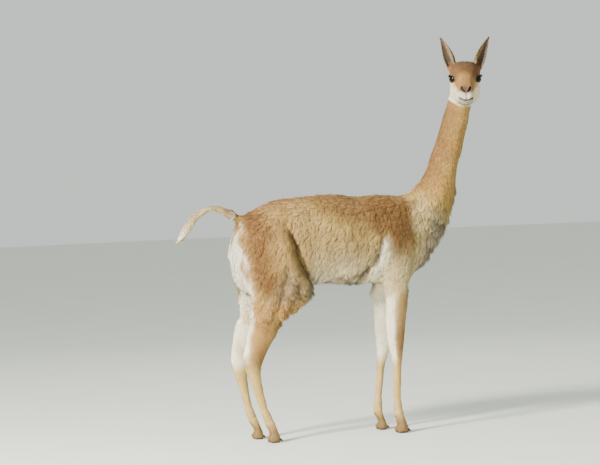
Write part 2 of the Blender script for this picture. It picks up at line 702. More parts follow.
def subdivided(thing):
    """Rounds an object's mesh by subdivision."""
    step = thing.modifiers.new("rounder", "SUBSURF")
    step.levels = 2
    step.render_levels = 2
    return evaluated(thing)


def gathered(name, nodes, grow):
    """One object of merged copies of nodes, each swollen a little so that they meet."""
    shape = bmesh.new()
    for node in nodes:
        part = bmesh.new()
        part.from_mesh(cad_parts[node].data)
        bmesh.ops.remove_doubles(part, verts=part.verts, dist=1e-5)
        part.normal_update()
        ways = [vertex.normal.copy() for vertex in part.verts]
        for vertex, way in zip(part.verts, ways):
            vertex.co += way * grow
        mesh = mesh_of(part, "part")
        shape.from_mesh(mesh)
        bpy.data.meshes.remove(mesh)
    return new_object(name, mesh_of(shape, name))


def remeshed(thing, voxel):
    step = thing.modifiers.new("grain", "REMESH")
    step.mode = "VOXEL"
    step.voxel_size = voxel
    return evaluated(thing)


def smoothed(thing, shares, rounds):
    """Eases an object's mesh by as many rounds, each vertex by its share."""
    group = thing.vertex_groups.new(name="eased")
    for level in range(1, 11):
        chosen = np.flatnonzero((shares > (level - 0.5) / 10) & (shares <= (level + 0.5) / 10))
        group.add(chosen.tolist(), level / 10, "REPLACE")
    step = thing.modifiers.new("ease", "SMOOTH")
    step.factor = 0.5
    step.iterations = rounds
    step.vertex_group = group.name
    evaluated(thing)
    thing.vertex_groups.clear()
    return thing


def read_points(mesh):
    rows = np.empty(len(mesh.vertices) * 3)
    mesh.vertices.foreach_get("co", rows)
    return rows.reshape(-1, 3)


def read_normals(mesh):
    rows = np.empty(len(mesh.vertices) * 3, np.float32)
    mesh.vertex_normals.foreach_get("vector", rows)
    return rows.reshape(-1, 3).astype(float)


def write_points(mesh, points):
    mesh.vertices.foreach_set("co", points.ravel())
    mesh.update()


def kept_side(thing, point, way, lap):
    """Keeps what lies beyond a plane, and a lap more, and closes the cut."""
    way = Vector(way).normalized()
    place = home(point) - way * lap
    with edited(thing) as shape:
        parts = shape.verts[:] + shape.edges[:] + shape.faces[:]
        cut = bmesh.ops.bisect_plane(shape, geom=parts, plane_co=place, plane_no=way, clear_inner=True)
        rim = [e for e in cut["geom_cut"] if isinstance(e, bmesh.types.BMEdge)]
        bmesh.ops.holes_fill(shape, edges=rim, sides=0)
        bmesh.ops.triangulate(shape, faces=[f for f in shape.faces if len(f.verts) > 4])
    return thing


def joined(thing, other):
    step = thing.modifiers.new("join", "BOOLEAN")
    step.operation = "UNION"
    step.solver = "MANIFOLD"
    step.object = other
    evaluated(thing)
    remove(other)
    return thing


def welded(thing, chosen, distance):
    """Merges the chosen vertices that lie closer than a distance."""
    with edited(thing) as shape:
        bmesh.ops.remove_doubles(shape, verts=[v for v in shape.verts if chosen[v.index]], dist=distance)


def write_layer(mesh, name, kind, rows):
    """Writes rows of values, vectors or colours to an attribute of the mesh's points."""
    layer = mesh.attributes.new(name, kind, "POINT")
    field = {"FLOAT": "value", "FLOAT_VECTOR": "vector", "FLOAT_COLOR": "color"}[kind]
    layer.data.foreach_set(field, rows.astype(np.float32).ravel())


def write_coat(mesh, colours):
    write_layer(mesh, "coat", "FLOAT_COLOR", np.insert(colours, 3, 1, axis=1))


def dressed(thing, material):
    """Gives an object one material and smooth shading."""
    thing.data.materials.clear()
    thing.data.materials.append(material)
    shade_smooth(thing.data)


def piece(name, mesh, material, slot, *nodes):
    """Makes a mesh a finished piece of one material."""
    mesh.materials.append(material)
    return hand_over(new_object(name, mesh), slot, *nodes)


def hand_over(thing, slot, *nodes):
    """Sets a finished piece on the frame in place of its nodes."""
    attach(thing, BODY)
    if nodes:
        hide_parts(*nodes)
    return thing


# Skin

def tucked(points):
    """Draws in the wool that hangs before the thigh, and the heels."""
    x, y, z = (points - MOVED).T
    tuck = np.interp(z, *STIFLE_TUCK, left=0, right=0)
    slice_of = np.clip((z * 100).astype(int), 0, 99)
    for side in SIDES.values():
        mine = (y * side > 0.02) & (x < 0.08) & (z < 0.54) & (z > 0.30)
        edge = np.full(100, -0.10)
        np.maximum.at(edge, slice_of[mine], x[mine])
        share = np.clip((x + 0.185) / (edge[slice_of] + 0.185), 0, 1) ** 1.5
        points[:, 0] -= np.where(mine, tuck * share, 0)
    heel = ease(z, 0.062, 0.030)
    for middle in (0.330, -0.150):
        here = np.abs(x - middle) < 0.12
        back = x[here & (z < 0.05)].min()
        points[:, 0] += np.where(here, HEEL_TUCK * heel * ease(x, back + 0.040, back), 0)
    return points


def body_part(settings):
    """The trunk, neck and limbs, with the clumps of wool eased away."""
    body = remeshed(gathered("skin", FLESH, settings.bridge), settings.body_voxel)
    points = read_points(body.data)
    x, y, z = (points - MOVED).T
    woolly = (1 - leg_share(points)) * ease(z, 1.10, 1.02)
    tail = ease(from_line(x, z, tuple((a, c) for a, _, c in TAIL_LINE)), 0.050, 0.020) * ease(x, -0.205, -0.235)
    smoothed(body, 0.05 + 0.95 * woolly * (1 - tail), 50)
    points = read_points(body.data)
    x, y, z = (points - MOVED).T
    trunk = ease(x, -0.235, -0.13) * ease(x, 0.47, 0.36) * ease(z + 0.35 * ease(np.abs(y), 0.09, 0.05), 0.62, 0.70)
    smoothed(body, trunk * (1 - stifle_share(points)), 190)
    kept_side(body, HEAD_JOINT[0], -Vector(HEAD_JOINT[1]), LAP)
    return kept_side(body, FOOT_JOINT[0], -Vector(FOOT_JOINT[1]), LAP)


def split_finer(thing, chosen):
    """Splits the faces whose corners are all chosen into quarters."""
    with edited(thing) as shape:
        edges = [e for e in shape.edges if chosen[e.verts[0].index] and chosen[e.verts[1].index]]
        bmesh.ops.subdivide_edges(shape, edges=edges, cuts=1, use_grid_fill=True)
        bmesh.ops.triangulate(shape, faces=[f for f in shape.faces if len(f.verts) > 4])


def face_detail(points, wider=0.0):
    """The places of the head that carry small forms: round the eyes and the front of the muzzle."""
    h = in_head(points)
    chosen = (h[:, 0] > 0.116 - wider) & (h[:, 2] > -0.072 - wider) & (h[:, 2] < -0.006 + wider)
    for side in SIDES.values():
        span, e = eye_span(points, side)
        chosen |= (span < 1.9 + 40 * wider) & (np.linalg.norm(e, axis=1) < 0.030 + wider)
    return chosen


def head_part(settings):
    """The head with its ears and the top of the neck, finer where its small forms are."""
    head = remeshed(gathered("head skin", ["head", "neck", *EYES], settings.bridge), settings.head_voxel)
    kept_side(head, *HEAD_JOINT, LAP)
    smoothed(head, np.full(len(head.data.vertices), 0.9), 10)
    for name in EARS:
        ear = gathered("ear skin", [name], settings.bridge)
        points = read_points(ear.data)
        up = along_ear(in_head(points))[0]
        root, tip = (head_home(place, SIDES[name[4:]]) for place in (EAR_ROOT, EAR_TIP))
        points -= np.array((tip - root).normalized()) * (settings.ear_sunk * ease(up, 0.022, 0.004))[:, None]
        write_points(ear.data, points)
        joined(head, subdivided(ear))
    split_finer(head, face_detail(read_points(head.data), 0.006))
    split_finer(head, face_detail(read_points(head.data)))
    return smoothed(head, 0.5 * face_detail(read_points(head.data)), 9)


def ear_roots(points):
    """1 round the roots of the ears."""
    up, off = along_ear(in_head(points))
    return ease(up, -0.014, -0.004) * ease(up, 0.026, 0.016) * ease(off, 0.044, 0.036)


def lidded(points):
    """Opens the skin over each eyeball and lays it over the ball as lids, with a crease over each lid."""
    for side in SIDES.values():
        span, e = eye_span(points, side)
        reach = np.linalg.norm(e, axis=1)
        target = EYE_RADIUS - 0.0026 + (LID_OVER + 0.0026) * ease(span, 0.90, 1.03)
        target += 0.0009 * ease(span, 1.05, 1.35)
        above = ease(e[:, 1] * lid_up(side), -0.002, 0.006)
        target -= (0.0016 * above + 0.0008 * (1 - above)) * near(span - 1.62, 0.10)
        share = ease(span, 2.15, 1.45)
        made = reach + (target - reach) * share
        points = points + (e * (made / reach - 1)[:, None]) @ np.array(eye_turn(side)).T
    return points


def muzzled(points, out):
    """Sinks the nostrils, the cleft and the line of the mouth, and swells their edges and the lips."""
    h = in_head(points)
    x, y, z = h.T
    gap = from_nostril(h)
    front = ease(x, 0.116, 0.130)
    move = np.zeros_like(points)
    rim = near(gap - 1.75, 0.55) * ease(z, -0.033, -0.022)
    move[:, 0] += (-0.0080 * ease(gap, 1.15, 0.55) + 0.0014 * rim) * front
    move[:, 1] += 0.0010 * np.sign(y) * rim * front
    cleft = cleft_share(h, 0.0016, 0.003, 0.003)
    over = from_mouth(h)
    lips = ease(x, 0.078, 0.100)
    swell = -0.0034 * near(over, 0.0017) * lips + 0.0014 * near(over - 0.0085, 0.0060) * lips
    swell += 0.0010 * near(over + 0.0062, 0.0040) * lips - 0.0024 * cleft * front
    return points + move @ np.array(HEAD_TURN).T + out * swell[:, None]


def foot_part(settings):
    feet = remeshed(gathered("foot skin", [*TOES, *SHANKS], settings.bridge), settings.foot_voxel)
    kept_side(feet, *FOOT_JOINT, LAP)
    return smoothed(feet, np.full(len(feet.data.vertices), 0.6), 4)


def coat_depth(points, settings):
    """How far the skin lies under the tips of the coat."""
    x, _, z = (points - MOVED).T
    trunk = ease(x, -0.22, -0.13) * ease(x, 0.45, 0.36) * ease(z, 0.62, 0.70)
    fleece = settings.fleece_depth * (1 - 0.40 * nape_share(points)) * (1 - 0.55 * trunk)
    depth = fleece + (settings.fur_depth - fleece) * leg_share(points)
    depth += (0.0030 - depth) * np.maximum(tail_share(points), ease(x, -0.225, -0.250) * ease(z, 0.77, 0.80))
    h = in_head(points)
    face = np.full(len(points), settings.face_depth)
    face += 0.0022 * ease(h[:, 0], 0.03, -0.03) + 0.0012 * ease(h[:, 2], -0.02, -0.06)
    face *= 1 - 0.85 * ease(h[:, 0], 0.105, 0.125)
    up, off = along_ear(h)
    face *= 1 - 0.85 * ease(up, -0.050, -0.010) * ease(off, 0.085, 0.040)
    depth = depth + (face - depth) * head_share(points)
    return depth * ease(z, 0.0, 0.012)


def relief(points, settings):
    """How far the skin stands out for the soft lumps of the fleece, and in for its folds."""
    x, y, z = (points - MOVED).T
    beside = ease(np.abs(y), 0.03, 0.07)
    woolly = (1 - leg_share(points)) * (1 - head_share(points)) * (1 - tail_share(points)) * ease(x, -0.25, -0.23)
    lumps = 0.0010 * waves(points, 0.050, 31, (1, 1, 2.2)) + 0.0008 * waves(points, 0.022, 32, (1, 1, 2.5))
    dip = -settings.fold_depth * near(from_line(x, z, FLANK_FOLD), 0.014) * ease(z, 0.80, 0.72)
    swell = 0.35 * settings.fold_depth * near(from_line(x + 0.035, z, FLANK_FOLD), 0.022) * ease(z, 0.78, 0.70)
    groove = (dip + swell - 0.0095 * near(from_line(x, z, ELBOW_FOLD), 0.010)) * beside
    locks = 0.0050 * stifle_share(points) * waves(points, 0.018, 33, (1, 1, 2.4))
    return woolly * (lumps + groove + locks - 0.0030 * front_creases(points))


def unwrapped(thing):
    """Lays the skin's own shape out flat, for the bake."""
    bpy.context.view_layer.objects.active = thing
    thing.select_set(True)
    bpy.ops.object.mode_set(mode="EDIT")
    bpy.ops.mesh.select_all(action="SELECT")
    bpy.ops.uv.smart_project(angle_limit=math.radians(66), island_margin=0.002)
    bpy.ops.object.mode_set(mode="OBJECT")
    thing.select_set(False)
    thing.data.uv_layers.active.name = "OFBake"
    return thing


def seam_share(points):
    """1 along the joints of the neck and the feet."""
    way = np.array(Vector(HEAD_JOINT[1]).normalized())
    share = near(points[:, 2] - FOOT_JOINT[0][2], 0.010)
    for point in (HEAD_JOINT[0], NECK_RING):
        ring = near((points - np.array(home(point))) @ way, 0.014)
        share = np.maximum(share, ring * ease(points[:, 2], 0.8, 0.9))
    return share


def joints_share(points):
    """1 wherever parts of the skin were joined."""
    return np.maximum(ear_roots(points), seam_share(points))


class VICUNA_OT_skin(bpy.types.Operator):
    """Makes the one skin that lies under the coat, from the tips of the ears to the soles"""
    bl_idname = "vicuna.skin"
    bl_label = "Skin"

    def execute(self, context):
        settings = context.scene.vicuna_skin
        skin = body_part(settings)
        joined(skin, head_part(settings))
        joined(skin, foot_part(settings))
        welded(skin, joints_share(read_points(skin.data)) > 0.1, settings.head_voxel * 0.5)
        smoothed(skin, joints_share(read_points(skin.data)), 24)
        points = tucked(read_points(skin.data))
        write_points(skin.data, points)
        points -= read_normals(skin.data) * coat_depth(points, settings)[:, None]
        write_points(skin.data, points)
        smoothed(skin, seam_share(points), 16)
        points, out = read_points(skin.data), read_normals(skin.data)
        points += out * relief(points, settings)[:, None]
        points = lidded(muzzled(points, out))
        points[:, 2] = np.maximum(points[:, 2], 0.0003)
        write_points(skin.data, points)
        out = read_normals(skin.data)
        unwrapped(skin)
        write_coat(skin.data, marks(points, out, palette(context.scene.vicuna_colours)))
        head = head_share(points)
        nap = mixed(points, in_head(points)[:, [1, 2, 0]], (head > 0.5).astype(float))
        write_layer(skin.data, "nap", "FLOAT_VECTOR", nap)
        dressed(skin, skin_material())
        hand_over(skin, "coat", *FLESH, *EARS)
        return {"FINISHED"}


# Coat

class Ground:
    """The skin as the ground that tufts grow from."""

    def __init__(self, skin):
        mesh = skin.data
        mesh.calc_loop_triangles()
        count = len(mesh.loop_triangles)
        corners, loops = np.empty(count * 3, np.int32), np.empty(count * 3, np.int32)
        mesh.loop_triangles.foreach_get("vertices", corners)
        mesh.loop_triangles.foreach_get("loops", loops)
        self.corners = corners.reshape(-1, 3)
        self.loops = loops.reshape(-1, 3)
        self.points = read_points(mesh)
        self.out = read_normals(mesh)
        places = np.empty(len(mesh.loops) * 2, np.float32)
        mesh.uv_layers["OFBake"].data.foreach_get("uv", places)
        self.places = places.reshape(-1, 2)
        a, b, c = (self.points[self.corners[:, k]] for k in range(3))
        self.areas = np.linalg.norm(np.cross(b - a, c - a), axis=1) / 2
        self.middles = (a + b + c) / 3

    def sown(self, count, density, draw):
        """Roots of tufts, spread at random by density: points, ways out and places on the unwrap."""
        steps = np.cumsum(self.areas * density)
        chosen = np.searchsorted(steps, draw.random(count) * steps[-1])
        first, second = np.sqrt(draw.random(count)), draw.random(count)
        shares = np.stack((1 - first, first * (1 - second), first * second), 1)[:, :, None]
        points = (self.points[self.corners[chosen]] * shares).sum(1)
        out = unit((self.out[self.corners[chosen]] * shares).sum(1))
        places = (self.places[self.loops[chosen]] * shares).sum(1)
        return points, out, places


# Forms of a tuft: where its rings lie along it, and the share of its width that each has
CURLY = ((0.0, 0.38, 0.74), (0.60, 1.00, 0.62))
SHORT = ((0.0, 0.50), (0.75, 0.95))
SPIKE = ((0.0,), (1.0,))
TUFT_SIDES = 3
TUFT_SUNK = 0.0004
PATCH = 0.0030


def tuft_faces(rings, sides):
    """Corners of one tuft's faces: quads round its rings, then triangles at its tip and root."""
    quads, ends = [], []
    for ring in range(rings - 1):
        for k in range(sides):
            n = (k + 1) % sides
            quads.append((ring * sides + k, ring * sides + n, (ring + 1) * sides + n, (ring + 1) * sides + k))
    tip = rings * sides
    for k in range(sides):
        ends.append((tip - sides + k, tip - sides + (k + 1) % sides, tip))
    ends.append(tuple(reversed(range(sides))))
    return np.array(quads, int).reshape(-1, 4), np.array(ends)


def tuft_mesh(name, settings, form, draw, points, out, places, along, length, width, bend, colours):
    """Many tufts as one mesh. Each leaves the skin, lies over along it and tapers to a tip."""
    (rings, body), count = form, len(points)
    side = np.cross(out, along)
    wave = settings.curl * length * draw.choice((-1, 1), count) * draw.uniform(0.5, 1.5, count)
    phase = draw.uniform(0.7, 1.3, count)
    stops = (*rings, 1.0)
    rows, tips, patches = [], [], []
    for k, t in enumerate(stops):
        height = length * (settings.rise * t - (settings.rise - settings.settle) * t * t * 0.55)
        sway = wave * np.sin(math.pi * 1.5 * t * phase)
        middle = points + along * (length * t * 0.97)[:, None] + out * (height - TUFT_SUNK)[:, None]
        middle += side * sway[:, None] + bend * t * t
        if k == len(rings):
            rows.append(middle[:, None])
            tips.append(np.full((count, 1), 1.0))
            patches.append((places + (PATCH / 2, 0))[:, None])
            continue
        for corner in range(TUFT_SIDES):
            angle = 2 * math.pi * (corner / TUFT_SIDES) + math.pi / 6
            reach = (width * body[k] / 2)[:, None]
            rows.append((middle + side * reach * math.cos(angle) + out * reach * (0.62 * math.sin(angle)))[:, None])
            tips.append(np.full((count, 1), t))
            patches.append((places + ((t - 0.5) * PATCH, (corner / TUFT_SIDES - 0.33) * PATCH))[:, None])
    vertices = np.concatenate(rows, 1)
    each = vertices.shape[1]
    quads, ends = tuft_faces(len(rings), TUFT_SIDES)
    starts = (np.arange(count) * each)[:, None, None]
    corners = np.concatenate(((quads + starts).reshape(count, -1), (ends + starts).reshape(count, -1)), 1).ravel()
    sizes = np.tile([4] * len(quads) + [3] * len(ends), count)
    mesh = bpy.data.meshes.new(name)
    mesh.vertices.add(count * each)
    mesh.vertices.foreach_set("co", vertices.ravel())
    mesh.loops.add(len(corners))
    mesh.loops.foreach_set("vertex_index", corners.astype(np.int32))
    mesh.polygons.add(len(sizes))
    mesh.polygons.foreach_set("loop_start", (np.cumsum(sizes) - sizes).astype(np.int32))
    shade_smooth(mesh)
    mesh.update(calc_edges=True)
    flat = np.concatenate(patches, 1).reshape(-1, 2)[corners]
    mesh.uv_layers.new(name="OFBake").data.foreach_set("uv", flat.astype(np.float32).ravel())
    write_coat(mesh, np.repeat(colours, each, 0))
    write_layer(mesh, "tip", "FLOAT", np.concatenate(tips, 1))
    own = read_normals(mesh)
    soft = unit(own * 0.40 + np.repeat(out, each, 0))
    mesh.normals_split_custom_set_from_vertices(soft.tolist())
    return mesh


def locks(points, along, length, spacing, gather, draw):
    """How far each tuft's tip is drawn towards the middle of its lock, and how dark its lock is."""
    count = max(4, len(points) // spacing)
    chosen = draw.choice(len(points), count, replace=False)
    tree = KDTree(count)
    for k, index in enumerate(chosen):
        tree.insert(points[index] + along[index] * length[index] * 0.35, k)
    tree.balance()
    ahead = points + along * (length * 0.35)[:, None]
    mine = np.array([tree.find(place)[1] for place in ahead])
    heads = points[chosen[mine]] + along[chosen[mine]] * (length[chosen[mine]] * 1.05)[:, None]
    pull = (heads - points - along * length[:, None]) * gather
    reach = np.linalg.norm(pull, axis=1)
    pull *= (np.minimum(reach, 0.45 * length) / np.maximum(reach, 1e-9))[:, None]
    shade = draw.normal(0, 1, count)[mine]
    return pull, shade


def grown(name, label, ground, density, seed, parts=1, spacing=26, vary=0.06, short=None, form=SHORT):
    """Grows the tufts of one region, in as many pieces as keep each one light."""
    scene = bpy.context.scene
    settings, draw = getattr(scene, f"vicuna_{label}"), np.random.default_rng(seed)
    points, out, places = ground.sown(settings.count, density, draw)
    along = lie(points, out)
    turn = 0.16 * waves(points, 0.060, seed + 1) + draw.normal(0, 0.13, len(points))
    along = along * np.cos(turn)[:, None] + np.cross(out, along) * np.sin(turn)[:, None]
    length = settings.length * draw.uniform(0.72, 1.25, len(points))
    if short is not None:
        length *= short(points)
    width = settings.width * draw.uniform(0.7, 1.25, len(points))
    bend, shade = locks(points, along, length, spacing, settings.gather, draw)
    bend -= out * (bend * out).sum(1)[:, None] * 0.8
    bend += out * (0.40 * length * ruffled(points) * draw.random(len(points)))[:, None]
    tones = marks(points, out, palette(scene.vicuna_colours))
    tones *= (1 + vary * (0.55 * shade + 0.75 * draw.normal(0, 1, len(points))))[:, None].clip(0.55, 1.5)
    rows = points, out, places, along, length, width, bend, tones.clip(0, 1)
    order = np.lexsort((points[:, 0] > np.median(points[:, 0]), points[:, 1] > 0))
    for number, chosen in enumerate(np.array_split(order, parts), 1):
        title = name if parts == 1 else f"{name}_{number}"
        mesh = tuft_mesh(title, settings, form, draw, *(row[chosen] for row in rows))
        piece(title, mesh, tuft_material(), "coat")


def skin_ground():
    return Ground(bpy.data.objects["skin"])


class VICUNA_OT_fleece(bpy.types.Operator):
    """Grows the fleece of the trunk in overlapping locks, and the curly wool of the stifles"""
    bl_idname = "vicuna.fleece"
    bl_label = "Fleece"

    def execute(self, context):
        ground = skin_ground()
        m = ground.middles
        bare = np.maximum.reduce((leg_share(m), nape_share(m), ease(m[:, 2], 0.92, 1.00), tail_share(m)))
        stifle = stifle_share(m)

        def shortened(points):
            x, _, z = (points - MOVED).T
            rump = ease(x, -0.16, -0.24)
            fold = near(from_line(x, z, FLANK_FOLD), 0.020)
            return hemmed(points) * (1 - 0.45 * rump) * (1 - 0.40 * fold) * (1 - 0.20 * ease(z, 0.78, 0.84))

        grown("fleece", "fleece", ground, (1 - bare) * (1 - 0.6 * stifle), 41, 4, 26, 0.10, shortened)
        grown("stifle_wool", "stifle", ground, stifle * (1 - leg_share(m)), 43, 1, 40, 0.22, hemmed, CURLY)
        return {"FINISHED"}


class VICUNA_OT_nape(bpy.types.Operator):
    """Grows the close wool of the neck"""
    bl_idname = "vicuna.nape"
    bl_label = "Neck wool"

    def execute(self, context):
        ground = skin_ground()

        def shortened(points):
            return 1 - 0.55 * ease(points[:, 2], 0.92, 1.16)

        density = nape_share(ground.middles) * (1 + 0.8 * ease(ground.middles[:, 2], 0.95, 1.15))
        grown("neck_wool", "nape", ground, density, 47, 2, 26, 0.09, shortened)
        return {"FINISHED"}


class VICUNA_OT_legs(bpy.types.Operator):
    """Grows the short fur of the legs and feet"""
    bl_idname = "vicuna.legs"
    bl_label = "Leg fur"

    def execute(self, context):
        ground = skin_ground()
        m = ground.middles
        density = leg_share(m) * (1 + 1.2 * ease(m[:, 2], 0.16, 0.06)) * ease(m[:, 2], 0.006, 0.016)

        def shortened(points):
            return 0.55 + 0.45 * ease(points[:, 2], 0.10, 0.35) + 0.5 * ease(points[:, 2], 0.38, 0.48)

        grown("leg_fur", "legs", ground, density, 53, 1, 30, 0.05, shortened, SPIKE)
        return {"FINISHED"}


class VICUNA_OT_face(bpy.types.Operator):
    """Grows the fine short fur of the face, longer on the cheeks, crown and ears"""
    bl_idname = "vicuna.face"
    bl_label = "Face and ear fur"

    def execute(self, context):
        ground = skin_ground()
        m = ground.middles
        h = in_head(m)
        face = head_share(m) * (1 - ear_share(m)) * (1 + 0.8 * ease(h[:, 0], 0.03, 0.08))
        face *= 1 - ease(h[:, 0], 0.122, 0.132) * near(np.hypot(h[:, 1] / 0.0175, (h[:, 2] + 0.021) / 0.013), 1.0)
        face *= ease(np.abs(from_mouth(h)), 0.0015, 0.0035)
        for side in SIDES.values():
            face *= ease(eye_span(m, side)[0], 1.30, 1.55)

        def shortened(points):
            h = in_head(points)
            length = 0.45 + 0.50 * ease(h[:, 0], 0.12, 0.05) + 0.80 * ease(h[:, 0], 0.00, -0.06)
            for side in SIDES.values():
                length *= 0.45 + 0.55 * ease(eye_span(points, side)[0], 1.3, 2.4)
            return length

        grown("face_fur", "face", ground, face, 59, 1, 34, 0.05, shortened, SPIKE)
        grown("ear_fur", "ears", ground, ear_share(m), 61, 1, 34, 0.05, None, SPIKE)
        return {"FINISHED"}


class VICUNA_OT_tail(bpy.types.Operator):
    """Grows the hair of the tail, longer towards its tip"""
    bl_idname = "vicuna.tail"
    bl_label = "Tail hair"

    def execute(self, context):
        ground = skin_ground()

        def shortened(points):
            return 0.50 + 0.50 * ease(points[:, 0] - MOVED[0], -0.33, -0.40)

        grown("tail_hair", "tail", ground, tail_share(ground.middles), 67, 1, 20, 0.07, shortened)
        return {"FINISHED"}


# Eyes

# Half width and half height of the pupil, the lids' rim, and the lashes' arc in degrees with their girth
PUPIL = (0.0065, 0.0036)
RIM_STEPS, RIM_SIDES = 48, 8
LASH_ARC = (12, 168)
LASH_REACH = ((0, 0.00042), (0.5, 0.00030))
LASH_SIDES, LASH_SUNK = 3, 0.0008


def lid_edge(angle, side, radius):
    """The place of the lids' edge at an angle round the opening, in the eye's own frame."""
    wide, above, below = EYE_OPEN
    c, s = math.cos(angle), math.sin(angle)
    tall = above if s * lid_up(side) > 0 else below
    x, y = wide * c, tall * s * (1 - 0.30 * c * c)
    return Vector((x, y, math.sqrt(max(EYE_RADIUS ** 2 - x * x - y * y, 1e-8)))).normalized() * radius


def eyeball(side, settings):
    """A glossy ball with its iris, and a pupil that is wider than high, looking out between the lids."""
    shape = bmesh.new()
    bmesh.ops.create_uvsphere(shape, u_segments=64, v_segments=40, radius=settings.radius)
    turn = eye_turn(side)
    middle = head_home(EYE_AT, side)
    rings, bars = [], []
    for vertex in shape.verts:
        local = vertex.co.copy()
        polar = local.normalized().angle(Vector((0, 0, 1)))
        rings.append(polar)
        bars.append(math.hypot(local.x / PUPIL[0], local.y / PUPIL[1]) if local.z > 0 else 9.0)
        bulge = 1 + 0.035 * math.exp(-(polar / 0.55) ** 2)
        vertex.co = turn @ (local * bulge) + middle
    mesh = mesh_of(shape, "eyeball")
    write_layer(mesh, "ring", "FLOAT", np.array(rings))
    write_layer(mesh, "pupil", "FLOAT", np.array(bars))
    shade_smooth(mesh)
    return mesh


def ring_round(shape, place, across, rise, sides, side):
    """A ring of vertices round a place of an eye's own frame, by its two half widths."""
    turn, middle = eye_turn(side), head_home(EYE_AT, side)
    angles = [2 * math.pi * k / sides for k in range(sides)]
    return [shape.verts.new(turn @ (place + across * math.cos(a) + rise * math.sin(a)) + middle) for a in angles]


def bridged(shape, here, there):
    """Walls between two rings of vertices."""
    for k in range(len(here)):
        n = (k + 1) % len(here)
        shape.faces.new((here[k], here[n], there[n], there[k]))


def lid_rim(side, settings):
    """The bare dark edge of both lids, drawn to a point at its inner corner."""
    shape = bmesh.new()
    turns = [2 * math.pi * k / RIM_STEPS for k in range(RIM_STEPS)]
    line = [lid_edge(a, side, EYE_RADIUS + LID_OVER * 0.55) for a in turns]
    rings = []
    for k, place in enumerate(line):
        ahead = (line[(k + 1) % RIM_STEPS] - line[k - 1]).normalized()
        out = place.normalized()
        across = ahead.cross(out) * (settings.rim * 1.25)
        rings.append(ring_round(shape, place, across, out * (settings.rim * 0.8), RIM_SIDES, side))
    for k, ring in enumerate(rings):
        bridged(shape, ring, rings[(k + 1) % RIM_STEPS])
    bmesh.ops.recalc_face_normals(shape, faces=shape.faces)
    mesh = mesh_of(shape, "lid rim")
    shade_smooth(mesh)
    return mesh


def lash_mesh(side, settings, draw):
    """Long dark lashes along the upper lid, each a curved spike."""
    shape = bmesh.new()
    turn, middle = eye_turn(side), head_home(EYE_AT, side)
    up_sign = lid_up(side)
    first, last = LASH_ARC
    for k in range(settings.lashes):
        share = k / (settings.lashes - 1)
        angle = math.radians(first + (last - first) * share) * up_sign
        root = lid_edge(angle, side, EYE_RADIUS + LID_OVER)
        out = root.normalized()
        up = Vector((0, up_sign, 0))
        spread = Vector((draw.normal(0, 0.10) - 0.15 * (share - 0.5), 0, 0))
        way = (Vector((0, 0, 1.0)) + out * 0.5 + up * 0.12 + spread).normalized()
        length = settings.lash * (0.55 + 0.45 * math.sin(math.pi * share)) * draw.uniform(0.8, 1.1)
        across = way.cross(up).normalized()
        rings = []
        for t, reach in LASH_REACH:
            place = root + way * (length * t) + up * (length * 0.22 * t * t) - out * LASH_SUNK
            rings.append(ring_round(shape, place, across * reach, across.cross(way) * reach, LASH_SIDES, side))
        bridged(shape, *rings)
        tip = shape.verts.new(turn @ (root + way * length + up * (length * 0.22)) + middle)
        for j in range(LASH_SIDES):
            shape.faces.new((rings[1][j], rings[1][(j + 1) % LASH_SIDES], tip))
        shape.faces.new(rings[0][::-1])
    bmesh.ops.recalc_face_normals(shape, faces=shape.faces)
    return mesh_of(shape, "lashes")


class VICUNA_OT_eyes(bpy.types.Operator):
    """Sets the eyeballs, the bare rims of the lids and the lashes"""
    bl_idname = "vicuna.eyes"
    bl_label = "Eyes"

    def execute(self, context):
        settings = context.scene.vicuna_eyes
        draw = np.random.default_rng(71)
        for name, side in SIDES.items():
            ball = eyeball(side, settings)
            piece(f"eyeball_{name}", ball, eye_material(settings.iris), "eye", f"eye_{name}")
            piece(f"lid_rim_{name}", lid_rim(side, settings), rim_material(), "coat")
            piece(f"lashes_{name}", lash_mesh(side, settings, draw), lash_material(), "coat")
        return {"FINISHED"}


# Nails

class VICUNA_OT_nails(bpy.types.Operator):
    """Rounds the eight nails and gives them ridged horn"""
    bl_idname = "vicuna.nails"
    bl_label = "Nails"

    def execute(self, context):
        settings = context.scene.vicuna_nails
        nails = gathered("nails", NAILS, 0.0)
        points = read_points(nails.data)
        for name in NAILS:
            low, high = (np.array(corner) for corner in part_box(name))
            mine = ((points > low - 0.0002) & (points < high + 0.0002)).all(1)
            back = np.array((low[0] - settings.set_back, (low[1] + high[1]) / 2, low[2]))
            points[mine] = back + (points[mine] - back) * settings.share
        write_points(nails.data, points)
        dressed(subdivided(nails), horn_material())
        hand_over(nails, "horn", *NAILS)
        return {"FINISHED"}


# Materials

def filled(made, values):
    """Sets a node's sockets, named with _ for a space."""
    for socket, value in values.items():
        made.inputs[socket.replace("_", " ")].default_value = value


def add_node(tree, kind, sources, operation=None, **values):
    """Adds a node, with sources linked into its sockets and values in others."""
    made = tree.nodes.new("ShaderNode" + kind)
    if operation:
        made.operation = operation
    filled(made, values)
    for socket, source in sources.items():
        tree.links.new(source, made.inputs[socket])
    return made


def attribute(tree, name):
    made = tree.nodes.new("ShaderNodeAttribute")
    made.attribute_name = name
    return made.outputs


def object_place(tree):
    return tree.nodes.new("ShaderNodeTexCoord").outputs["Object"]


def stretched(tree, place, scale):
    return add_node(tree, "Mapping", {"Vector": place}, Scale=scale).outputs["Vector"]


def noise(tree, place, scale, detail):
    return add_node(tree, "TexNoise", {"Vector": place}, Scale=scale, Detail=detail).outputs["Fac"]


def ranged(tree, source, first, last, low, high):
    """A value carried from one range to another."""
    made = add_node(tree, "MapRange", {"Value": source}, From_Min=first, From_Max=last, To_Min=low, To_Max=high)
    return made.outputs["Result"]


def product(tree, first, second):
    return add_node(tree, "Math", {0: first, 1: second}, "MULTIPLY").outputs[0]


